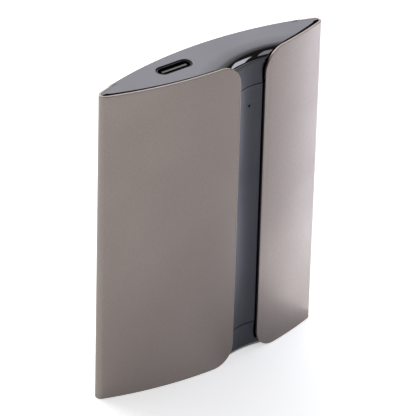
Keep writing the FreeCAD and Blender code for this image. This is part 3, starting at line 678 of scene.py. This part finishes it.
def sleeve_finish(name, sizes, colours):
    """Blasted metal outside; the inside is painted near-black as shade in the gaps."""
    material = grained_finish(name, colours.metal, 0.43, 1.0, scale=3600.0, bump=0.35, spread=0.2)
    tree = material.node_tree
    lens = drive_lens(sizes)
    x, y, _ = position(tree)
    x, y = (calculate(tree, "ABSOLUTE", socket) for socket in (x, y))
    skin = SKIN_SHARE * sizes.wall
    from_face = distance(tree, x, 0.0, y, -lens.face_centre)
    inside = calculate(tree, "LESS_THAN", from_face, lens.face_radius - skin)
    from_tip = distance(tree, x, lens.tip_x, y, 0.0)
    past_face = calculate(tree, "GREATER_THAN", x, lens.tip_x)
    tip = both(tree, past_face, calculate(tree, "GREATER_THAN", from_tip, lens.tip_radius - skin))
    # Painted shade: the sleeve's inner face is painted near-black so the gaps beside the caps and the strip
    # read dark
    overlay(tree, both(tree, inside, outside(tree, tip)), (0.01, 0.01, 0.01))
    return material


def strip_finish(name, sizes, colours):
    """The caps' moulding, with painted shade: black in the pin-hole."""
    material = grained_finish(name, colours.cap, 0.41, scale=7000.0, bump=0.12, spread=0.12)
    tree = material.node_tree
    moulded_gloss(shader_of(tree))
    x, _, z = position(tree)
    from_pin = distance(tree, x, sizes.slot_x, z, PIN_HOLE_Z)
    hole = calculate(tree, "LESS_THAN", from_pin, sizes.pin_hole / 2 + PIN_SHADE)
    # Painted shade: the pin-hole's wall and a thin ring round its mouth are painted black
    overlay(tree, hole, (0.001, 0.001, 0.001))
    return material


def tongue_finish(name, tip, middle_y):
    """Black moulding with a lighter steel patch at the front of the blade's tip: partly the steel plate
    showing there, partly a painted highlight.
    """
    material = grained_finish(name, (0.008, 0.008, 0.009), 0.45, scale=8000.0, bump=0.1, spread=0.15)
    tree = material.node_tree
    _, y, z = position(tree)
    first, last = (middle_y - edge for edge in PLATE_EDGE)
    front = ramp(tree, y, first, last, 1.0, 0.0)
    plate = both(tree, calculate(tree, "GREATER_THAN", z, tip - PLATE_SKIN), front)
    # Partly painted highlight: the steel tint lies only on the front edge of the tip, where the light catches
    # it
    overlay(tree, plate, (0.2, 0.2, 0.21))
    tree.links.new(plate, shader_of(tree).inputs["Metallic"])
    return material


# Sleeve


class DRIVE_OT_sleeve(bpy.types.Operator):
    """Sweeps the sleeve's wall round the lens section, cuts the slot and rounds the outer edges"""

    bl_idname = "drive.sleeve"
    bl_label = "Sleeve"

    def execute(self, context):
        sizes, colours = context.scene.drive_sizes, context.scene.drive_colours
        lens = drive_lens(sizes)
        # The wall starts and ends within the slot, whose cutter takes both ends away
        start = math.asin((sizes.slot_x + sizes.slot_width / 4) / lens.face_radius)
        end = math.asin((sizes.slot_x - sizes.slot_width / 4) / lens.face_radius)
        radius = lens.face_radius - sizes.wall / 2
        place = (radius * math.sin(start), lens.face_centre - radius * math.cos(start), sizes.height / 2)
        deselect()
        bpy.ops.mesh.primitive_plane_add(
            size=1, location=place, rotation=(math.pi / 2, 0, math.pi / 2 + start)
        )
        bpy.context.active_object.scale = (sizes.wall, sizes.height, 1)
        piece = new_piece("sleeve")
        edit(piece)
        lens.sweep(start, end, face_steps=56, tip_steps=24)
        weld(piece)
        combine(piece, slot_cutter(sizes), "DIFFERENCE")
        step = sizes.plate + sizes.lip_gap
        for low, high in ((-step, step), (sizes.height - step, sizes.height + step)):
            corner = Vector((sizes.width, sizes.depth, high))
            rear = block("rear_step", (-sizes.width, sizes.lip_start - sizes.lip_gap, low), corner)
            combine(piece, rear, "DIFFERENCE")
        weld(piece, SLIVER)
        pick(
            piece,
            "EDGE",
            lambda edge: len(edge.link_faces) == 2
            and edge.calc_face_angle(0) > SHARP
            and all(lens.touches(vertex.co) for vertex in edge.verts),
        )
        bevel(sizes.edge, segments=3)
        object_mode()
        smooth(piece)
        settle(piece, "outer_shell", sleeve_finish("blasted_metal", sizes, colours))
        return {"FINISHED"}


def flare(piece, sides, levels, wide, reach, radius):
    """Widens a block to both sides at the heights that are wide, with round corners at the levels."""
    for level in levels:
        edit(piece)
        bpy.ops.mesh.bisect(plane_co=(0, 0, level), plane_no=UP, threshold=WELD)
    for sign in (-1, 1):
        pick(piece, "FACE", lambda face: face.normal.x * sign > FACING and wide(middle(face).z))
        extrude(sign * reach, 0, 0)
    pick(
        piece,
        "EDGE",
        lambda edge: runs_along(edge, "y")
        and min(abs(middle(edge).x - side) for side in sides) < WELD
        and min(abs(middle(edge).z - level) for level in levels) < WELD,
    )
    bevel(radius, CORNER_STEPS)


def slot_cutter(sizes):
    """The slot from end to end, flared round the sleeve's corners."""
    left, right = slot_sides(sizes)
    over = sizes.slot_corner * FLARE
    cutter = block("slot_cutter", (left, -sizes.depth, -over), (right, 0, sizes.height + over))
    levels = (0, sizes.height)
    flare(cutter, (left, right), levels, lambda z: not 0 < z < sizes.height, over, sizes.slot_corner)
    weld(cutter)
    return cutter


# End caps


def roll_over(centre, half, radius, steps):
    """Carries the selected top of a cutter up and outwards round a radius, then on up to clear the piece."""
    spread, level = 0.0, 0.0
    for step in range(1, steps + 1):
        turn = math.pi / 2 * step / steps
        next_spread, next_level = radius * (1 - math.cos(turn)), radius * math.sin(turn)
        extrude(0, 0, next_level - level)
        grow = [(side + next_spread) / (side + spread) for side in half]
        bpy.ops.transform.resize(value=(*grow, 1), center_override=centre + UP * next_level)
        spread, level = next_spread, next_level
    extrude(0, 0, radius)


def groove_cutter(sizes, groove):
    """The flared groove at the top end, with the roll out over the cap face."""
    deselect()
    start = sizes.height - sizes.tongue
    bpy.ops.mesh.primitive_circle_add(
        vertices=HOLLOW_SIDES, radius=sizes.groove_radius, fill_type="NGON", location=groove.axis + UP * start
    )
    cutter = new_piece("groove_cutter")
    edit(cutter)
    grow = sizes.mouth_radius / sizes.groove_radius
    base = sizes.height - sizes.roll
    extrude(0, 0, base - start)
    bpy.ops.transform.resize(value=(grow, grow, 1), center_override=groove.line + UP * base)
    half = (sizes.mouth_radius, sizes.mouth_radius)
    roll_over(groove.mouth_axis + UP * base, half, sizes.roll, ROLL_STEPS)
    weld(cutter)
    return cutter


def tongue_block(sizes, groove):
    """What fills the top end of the slot, with the shadow gap all round."""
    left, right = slot_sides(sizes, sizes.gap)
    corner = sizes.slot_corner + sizes.gap
    low = sizes.height - sizes.tongue + sizes.parting / 2
    level = sizes.height + sizes.gap
    back = groove.line.y + TONGUE_BACK
    piece = block("tongue", (left, -sizes.depth / 2, low), (right, back, level + corner))
    flare(piece, (left, right), (level,), lambda z: z > level, corner * FLARE, corner)
    edit(piece)
    bpy.ops.mesh.bisect(
        plane_co=(0, 0, sizes.height), plane_no=UP, clear_outer=True, use_fill=True, threshold=WELD
    )
    weld(piece)
    return piece


def cap_blank(sizes, groove):
    """The upper cap without its port."""
    top = sizes.height
    below = top - sizes.plate
    deep = sizes.depth / 2 - sizes.wall - sizes.front_gap
    face = Lens(deep, sizes.width / 2 - sizes.wall - sizes.tip_gap, sizes.cap_tip)
    piece = face.prism("cap", below, top)
    flange = drive_lens(sizes, sizes.wall + sizes.slide)
    for name, lens, front, low in (
        ("rear_face", flange, 0.0, below - sizes.flange / 2),
        ("lip", drive_lens(sizes), sizes.lip_start, below),
    ):
        rear = lens.prism(name, low, top)
        edit(rear)
        bpy.ops.mesh.bisect(
            plane_co=(0, front, 0), plane_no=(0, 1, 0), clear_inner=True, use_fill=True, threshold=WELD
        )
        weld(rear)
        combine(piece, rear, "UNION")
    combine(piece, flange.prism("flange", below - sizes.flange, below), "UNION")
    combine(piece, tongue_block(sizes, groove), "UNION")
    combine(piece, groove_cutter(sizes, groove), "DIFFERENCE")
    # Halfway between the middle of the drive and that of the port
    core_y = (PORT_LOW.y + PORT_HIGH.y) / 4
    core = block(
        "core",
        (-sizes.board_half, core_y - CORE_HALF_DEPTH, below - sizes.flange - CLEAR),
        (sizes.board_half, core_y + CORE_HALF_DEPTH, below),
    )
    combine(piece, core, "DIFFERENCE")
    carrier_end = top - sizes.tongue - sizes.parting / 2
    for side in (-1, 1):
        for half_size, low, high in (
            (LEG_SHOULDER, carrier_end, below - sizes.flange / 2),
            (LEG_PIN, carrier_end - LEG_LENGTH, carrier_end + CLEAR),
        ):
            combine(piece, upright_bar("leg", side * leg_place(sizes), half_size, low, high), "UNION")
    weld(piece)
    return piece


def port_cutter(sizes):
    """The opening around the receptacle, with a rounded edge."""
    low, high = port_box()
    margin = Vector((PORT_MARGIN, PORT_MARGIN, 0))
    low, high = low - margin, high + margin
    low.z, high.z = sizes.height - PORT_DEPTH, sizes.height - sizes.port_edge
    cutter = block("opening", low, high)
    half = (high - low) / 2
    round_uprights(cutter, half.y - WELD)
    pick(cutter, "FACE", lambda face: face.normal.z > FACING)
    roll_over(Vector((low.x + half.x, low.y + half.y, high.z)), half.xy, sizes.port_edge, PORT_EDGE_STEPS)
    weld(cutter)
    return cutter


class DRIVE_OT_end_caps(bpy.types.Operator):
    """Models the upper cap, mirrors it for the foot, and cuts the port into the upper one"""

    bl_idname = "drive.end_caps"
    bl_label = "End caps"

    def execute(self, context):
        sizes, colours = context.scene.drive_sizes, context.scene.drive_colours
        upper = cap_blank(sizes, Groove(sizes))
        take(upper)
        bpy.ops.object.duplicate()
        lower = bpy.context.active_object
        lower.name = lower.data.name = "foot_cap"
        edit(lower)
        bpy.ops.transform.resize(value=(1, 1, -1), center_override=(0, 0, sizes.height / 2))
        weld(lower)
        upper.name = upper.data.name = "port_cap"
        combine(upper, port_cutter(sizes), "DIFFERENCE")
        finish = cap_finish("cap_plastic", sizes, colours)
        for piece, node in ((upper, "top_cap"), (lower, "bottom_cap")):
            smooth(piece)
            settle(piece, node, finish)
        return {"FINISHED"}


# Carrier


class DRIVE_OT_carrier(bpy.types.Operator):
    """Models the carrier: bowed front wall, side rails, and the hollow strip that shows in the slot"""

    bl_idname = "drive.carrier"
    bl_label = "Carrier"

    def execute(self, context):
        sizes, colours = context.scene.drive_sizes, context.scene.drive_colours
        lens, groove = drive_lens(sizes), Groove(sizes)
        low = sizes.tongue + sizes.parting / 2
        high = sizes.height - low
        piece = drive_lens(sizes, sizes.wall + sizes.gap).prism("carrier_frame", low, high)
        combine(piece, cavity_cutter(sizes, lens, low, high), "DIFFERENCE")
        left, right = slot_sides(sizes, sizes.gap)
        floor = groove.line.y
        strip = block("strip", (left, -sizes.depth / 2, low), (right, floor + STRIP_BACK, high))
        combine(piece, strip, "UNION")
        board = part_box("circuit_board")[0].y
        places = screw_places()
        screw_x = places[-1][0]
        root = lens.face_centre - math.sqrt((lens.face_radius - POST_ROOT) ** 2 - screw_x**2)
        for place in places:
            combine(piece, rod("post", place, root, board, POST_RADIUS), "UNION")
        pipe = (sizes.slot_x, PIN_HOLE_Z)
        skin, post_end = floor + PIPE_SKIN, floor + PIPE_POST_END
        combine(piece, rod("pipe_post", pipe, skin, post_end, PIPE_POST_RADIUS), "UNION")
        combine(piece, strip_hollow(sizes, groove, low, high), "DIFFERENCE")
        for place in places:
            pilot = rod("pilot", place, board - PILOT_DEPTH, board + CLEAR, PILOT_RADIUS)
            combine(piece, pilot, "DIFFERENCE")
        combine(piece, rod("bore", pipe, skin, post_end + CLEAR, PIPE_BORE_RADIUS), "DIFFERENCE")
        combine(piece, rod("pin", pipe, -sizes.depth / 2, post_end, sizes.pin_hole / 2), "DIFFERENCE")
        for side in (-1, 1):
            for start, end in ((low - CLEAR, low + SOCKET_DEPTH), (high - SOCKET_DEPTH, high + CLEAR)):
                socket = upright_bar("socket", side * leg_place(sizes), SOCKET, start, end)
                combine(piece, socket, "DIFFERENCE")
        weld(piece)
        smooth(piece)
        settle(piece, "carrier", strip_finish("strip_plastic", sizes, colours))
        return {"FINISHED"}


def screw_places():
    """The X and Z of the four board screws."""
    low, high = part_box("board_screws")
    screw_x = high.x - SCREW_HEAD_RADIUS
    levels = (low.z + SCREW_HEAD_RADIUS, high.z - SCREW_HEAD_RADIUS)
    return [(side * screw_x, level) for level in levels for side in (-1, 1)]


def cavity_cutter(sizes, lens, low, high):
    """The room for the board: a bowed front sheet, pushed out through the back."""
    radius = lens.face_radius - sizes.wall - sizes.gap - CARRIER_WALL
    half = sizes.board_half + BOARD_PLAY
    lean = math.asin(half / radius)
    corner = Vector((-half, lens.face_centre - radius * math.cos(lean), low - CLEAR))
    cutter = upright_edge("cavity_cutter", corner, high - low + 2 * CLEAR)
    bpy.ops.mesh.spin(steps=40, angle=SPIN_SIGN * 2 * lean, center=(0, lens.face_centre, 0), axis=UP)
    edit(cutter, "FACE")
    extrude(0, sizes.depth, 0)
    weld(cutter)
    return cutter


def strip_hollow(sizes, groove, low, high):
    """The round bar that hollows the strip."""
    deselect()
    bpy.ops.mesh.primitive_cylinder_add(
        vertices=HOLLOW_SIDES,
        radius=sizes.groove_radius,
        depth=high - low + 2 * CLEAR,
        location=groove.axis + UP * (low + high) / 2,
    )
    return new_piece("strip_hollow")


# Receptacle


class DRIVE_OT_receptacle(bpy.types.Operator):
    """Models the receptacle's folded shell with its solder tabs, and its moulded tongue"""

    bl_idname = "drive.receptacle"
    bl_label = "Receptacle"

    def execute(self, context):
        colours = context.scene.drive_colours
        low, high = port_box()
        # Painted shade: near-black steel keeps the port's inside dark
        steel = grained_finish("folded_steel_painted_shade", colours.steel, 0.26, 1.0, scale=5000.0, bump=0.08, spread=0.05)
        settle(folded_shell(low, high), "usb_shell", steel)
        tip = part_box("usb_tongue")[1].z
        moulding = tongue_finish("tongue_moulding", tip, (low.y + high.y) / 2)
        settle(moulded_tongue(low, high, tip), "usb_tongue", moulding)
        return {"FINISHED"}


def folded_shell(low, high):
    """An open tube with round ends, rounded at its mouth, and a solder tab on each side."""
    shell = block("receptacle_shell", low, high)
    round_uprights(shell, (high.y - low.y) / 2 - WELD)
    pick(shell, "FACE", lambda face: abs(face.normal.z) > FACING)
    bpy.ops.mesh.inset(thickness=FOLD_WALL, use_individual=True)
    bpy.ops.mesh.delete(type="ONLY_FACE")
    pick(shell, "EDGE", lambda edge: edge.is_boundary)
    bpy.ops.mesh.bridge_edge_loops()
    weld(shell)
    pick(shell, "EDGE", lambda edge: level_edge(edge, high.z) and edge.calc_face_angle(0) > SHARP)
    bevel(FOLD_EDGE, segments=2)
    object_mode()
    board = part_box("circuit_board")[1]
    step = (board.z - low.z) / 4
    for start, end in ((PORT_LOW.x, low.x + FOLD_WALL), (high.x - FOLD_WALL, PORT_HIGH.x)):
        solder_tab = block(
            "tab", (start, board.y, low.z + step), (end, board.y + FOLD_WALL, low.z + step * 3)
        )
        combine(shell, solder_tab, "UNION")
    smooth(shell)
    return shell


def moulded_tongue(low, high, tip):
    """The moulding that closes the shell behind, with the blade that carries the contacts."""
    trim = FOLD_WALL + TONGUE_FIT
    inset = Vector((trim, trim, 0))
    base_top = Vector((high.x, high.y, low.z + TONGUE_BASE))
    piece = block("receptacle_tongue", low + inset, base_top - inset)
    round_uprights(piece, (high.y - low.y) / 2 - trim - WELD)
    centre = (low + high) / 2
    half = Vector((*BLADE_HALF, 0))
    foot, head = Vector((centre.x, centre.y, low.z + BLADE_ROOT)), Vector((centre.x, centre.y, tip))
    blade = block("blade", foot - half, head + half)
    pick(blade, "EDGE", lambda edge: level_edge(edge, tip))
    bevel(BLADE_EDGE, segments=3)
    object_mode()
    combine(piece, blade, "UNION")
    weld(piece)
    smooth(piece)
    return piece


# Inner parts


class DRIVE_OT_inner_parts(bpy.types.Operator):
    """Finishes the board, its parts, the light pipe and the thermal pad"""

    bl_idname = "drive.inner_parts"
    bl_label = "Inner parts"

    # Finish, colour, roughness, metallic and grain scale of each node
    finishes = {
        "usb_contacts": ("contact_gold", (0.83, 0.58, 0.24), 0.25, 1.0, 5000.0),
        "circuit_board": ("board_laminate", (0.02, 0.09, 0.05), 0.35, 0.0, 1500.0),
        "board_screws": ("screw_steel", (0.45, 0.45, 0.46), 0.3, 1.0, 4000.0),
        "capacitors": ("capacitor_ceramic", (0.30, 0.21, 0.13), 0.5, 0.0, 6000.0),
        "resistors": ("resistor_ceramic", (0.03, 0.03, 0.035), 0.4, 0.0, 6000.0),
        "crystal": ("crystal_can", (0.60, 0.60, 0.58), 0.28, 1.0, 4000.0),
        "status_led": ("led_resin", (0.75, 0.72, 0.55), 0.3, 0.0, 4000.0),
        "thermal_pad": ("pad_silicone", (0.36, 0.45, 0.50), 0.7, 0.0, 2500.0),
        "light_pipe": ("pipe_clear", (0.002, 0.002, 0.0025), 0.6, 0.0, 4000.0),
    }
    dark_parts = {
        "chip_epoxy": ("flash_chip_", "drive_controller", "power_chip"),
        "inductor_ferrite": ("power_inductor_",),
    }

    def execute(self, context):
        finishes = dict(self.finishes)
        for name, starts in self.dark_parts.items():
            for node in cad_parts:
                if node.startswith(starts):
                    finishes[node] = (name, (0.018, 0.018, 0.02), 0.5, 0.0, 3500.0)
        made = {}
        for node, (name, tint, roughness, metallic, scale) in finishes.items():
            if name not in made:
                made[name] = grained_finish(
                    name, tint, roughness, metallic, scale=scale, bump=0.15, spread=0.15
                )
            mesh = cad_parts[node].data
            mesh.materials.clear()
            mesh.materials.append(made[name])
        return {"FINISHED"}


# Studio


class DRIVE_OT_stage(bpy.types.Operator):
    """Sets the floor, the light and the camera"""

    bl_idname = "drive.stage"
    bl_label = "Studio"

    background = 0.6
    drive = (0, 0, 0.04)
    # Place, the point that it faces, size, watts and tint of each lamp
    lamps = {
        "key": ((0.320, -0.205, 0.224), drive, (0.15, 0.19), 0.21, (0.93, 0.91, 1.0)),
        "back": ((0.306, 0.402, 0.364), drive, (0.5, 0.5), 0.85, (1.0, 1.0, 1.0)),
        "rear": ((-0.08, 0.47, 0.40), drive, (0.4, 0.4), 1.8, (1.0, 0.99, 0.97)),
        "front": ((0.12, -0.32, 0.325), drive, (0.18, 0.22), 0.12, (0.93, 0.91, 1.0)),
        "card": ((0.062, -0.007, 0.037), (0, -0.007, 0.037), (0.034, 0.09), 0.017, (0.80, 0.86, 1.0)),
        "tray": ((0.046, -0.006, 0.002), (0.046, -0.006, 1.002), (0.032, 0.05), 0.0042, (0.88, 0.92, 1.0)),
    }

    def execute(self, context):
        scene = context.scene
        scene.view_settings.view_transform = "Standard"
        self.floor(scene.drive_colours)
        self.world(scene)
        for name, settings in self.lamps.items():
            self.lamp(scene, name, *settings)
        self.camera(scene, scene.drive_studio)
        return {"FINISHED"}

    def floor(self, colours):
        deselect()
        bpy.ops.mesh.primitive_circle_add(vertices=64, radius=3.0, fill_type="NGON")
        floor = new_piece("floor")
        paper = grained_finish("pale_floor", colours.floor, 0.7, scale=400.0, bump=0.02, spread=0.01)
        tree = paper.node_tree
        shader = shader_of(tree)
        path = tree.nodes.new("ShaderNodeLightPath")
        glow = 0.0
        for ray, share in (
            ("Is Camera Ray", self.background),
            ("Is Glossy Ray", self.mirrored_glow(tree)),
            ("Is Transmission Ray", self.background),
        ):
            glow = calculate(tree, "ADD", both(tree, path.outputs[ray], share), glow)
        shader.inputs["Emission Color"].default_value = (1, 1, 1, 1)
        tree.links.new(glow, shader.inputs["Emission Strength"])
        floor.data.materials.append(paper)

    def mirrored_glow(self, tree):
        """The floor as the metal mirrors it, with painted shade in its glow: darker near the left tip as a
        contact shadow, and dim towards the front right.
        """
        x, y, _ = position(tree)
        dark_x = -0.03
        from_dark = distance(tree, x, dark_x, y, 0.0)
        # Painted shade: the glow drops near the drive like a contact shadow, and the dim ramp lowers it
        # towards the front right
        away = ramp(tree, from_dark, low=0.02, high=0.10, first=0.36, last=0.58)
        dim_heading = math.radians(-38)
        forward = calculate(
            tree, "ADD", both(tree, x, math.cos(dim_heading)), both(tree, y, math.sin(dim_heading))
        )
        aligned = calculate(tree, "DIVIDE", forward, distance(tree, x, 0.0, y, 0.0))
        dim = ramp(tree, aligned, low=0.65, high=0.97, first=1.03, last=0.45)
        return both(tree, away, dim)

    def world(self, scene):
        """A studio that is bright behind the drive and dim in front of it."""
        world = bpy.data.worlds.new("studio")
        scene.world = world
        world.use_nodes = True
        tree = world.node_tree
        place = tree.nodes.new("ShaderNodeTexCoord")
        axes = tree.nodes.new("ShaderNodeSeparateXYZ")
        tree.links.new(place.outputs["Generated"], axes.inputs["Vector"])
        plain = tree.nodes["Background"]
        plain.inputs["Color"].default_value = (1, 1, 1, 1)
        strength = ramp(tree, axes.outputs["Y"], low=-0.15, high=0.5, first=0.04, last=0.85)
        tree.links.new(strength, plain.inputs["Strength"])

    def lamp(self, scene, name, place, aim, size, power, tint):
        place, aim = Vector(place), Vector(aim)
        data = bpy.data.lights.new(name, "AREA")
        data.shape = "RECTANGLE"
        data.size, data.size_y = size
        data.energy = power
        data.color = tint
        lamp = bpy.data.objects.new(name, data)
        lamp.location = place
        lamp.rotation_euler = (place - aim).to_track_quat("Z", "Y").to_euler()
        scene.collection.objects.link(lamp)

    def camera(self, scene, studio):
        azimuth, elevation, roll = studio.azimuth, studio.elevation, studio.roll
        back = Vector(
            (
                math.sin(azimuth) * math.cos(elevation),
                -math.cos(azimuth) * math.cos(elevation),
                math.sin(elevation),
            )
        )
        right = Vector((math.cos(azimuth), math.sin(azimuth), 0))
        up = back.cross(right)
        right, up = (
            right * math.cos(roll) + up * math.sin(roll),
            up * math.cos(roll) - right * math.sin(roll),
        )
        aim = Vector((0, 0, studio.aim))
        data = bpy.data.cameras.new("camera")
        data.lens = studio.lens
        data.sensor_width = 36
        data.clip_start = 0.05
        data.clip_end = 20
        camera = bpy.data.objects.new("camera", data)
        scene.collection.objects.link(camera)
        camera.matrix_world = Matrix((right, up, back)).transposed().to_4x4()
        camera.location = aim + back * studio.distance + right * studio.across + up * studio.along
        scene.camera = camera


# Panel and registration


class DRIVE_PT_panel(bpy.types.Panel):
    """The drive's operators and settings"""

    bl_label = "Portable drive"
    bl_idname = "DRIVE_PT_panel"
    bl_space_type = "VIEW_3D"
    bl_region_type = "UI"
    bl_category = "Drive"

    def draw(self, context):
        layout = self.layout
        for operator in OPERATORS:
            layout.operator(operator.bl_idname)
        for group in (context.scene.drive_sizes, context.scene.drive_colours, context.scene.drive_studio):
            box = layout.box()
            for name in group.__annotations__:
                box.prop(group, name)


OPERATORS = (
    DRIVE_OT_sleeve,
    DRIVE_OT_end_caps,
    DRIVE_OT_carrier,
    DRIVE_OT_receptacle,
    DRIVE_OT_inner_parts,
    DRIVE_OT_stage,
)
GROUPS = {"drive_sizes": DriveSizes, "drive_colours": DriveColours, "drive_studio": DriveStudio}


def register():
    for group in GROUPS.values():
        bpy.utils.register_class(group)
    for name, group in GROUPS.items():
        setattr(bpy.types.Scene, name, bpy.props.PointerProperty(type=group))
    for operator in OPERATORS:
        bpy.utils.register_class(operator)
    bpy.utils.register_class(DRIVE_PT_panel)


def unregister():
    bpy.utils.unregister_class(DRIVE_PT_panel)
    for operator in reversed(OPERATORS):
        bpy.utils.unregister_class(operator)
    for name in GROUPS:
        delattr(bpy.types.Scene, name)
    for group in reversed(GROUPS.values()):
        bpy.utils.unregister_class(group)


def main():
    register()
    bpy.ops.drive.sleeve()
    bpy.ops.drive.end_caps()
    bpy.ops.drive.carrier()
    bpy.ops.drive.receptacle()
    bpy.ops.drive.inner_parts()
    bpy.ops.drive.stage()


if __name__ == "__main__":
    main()
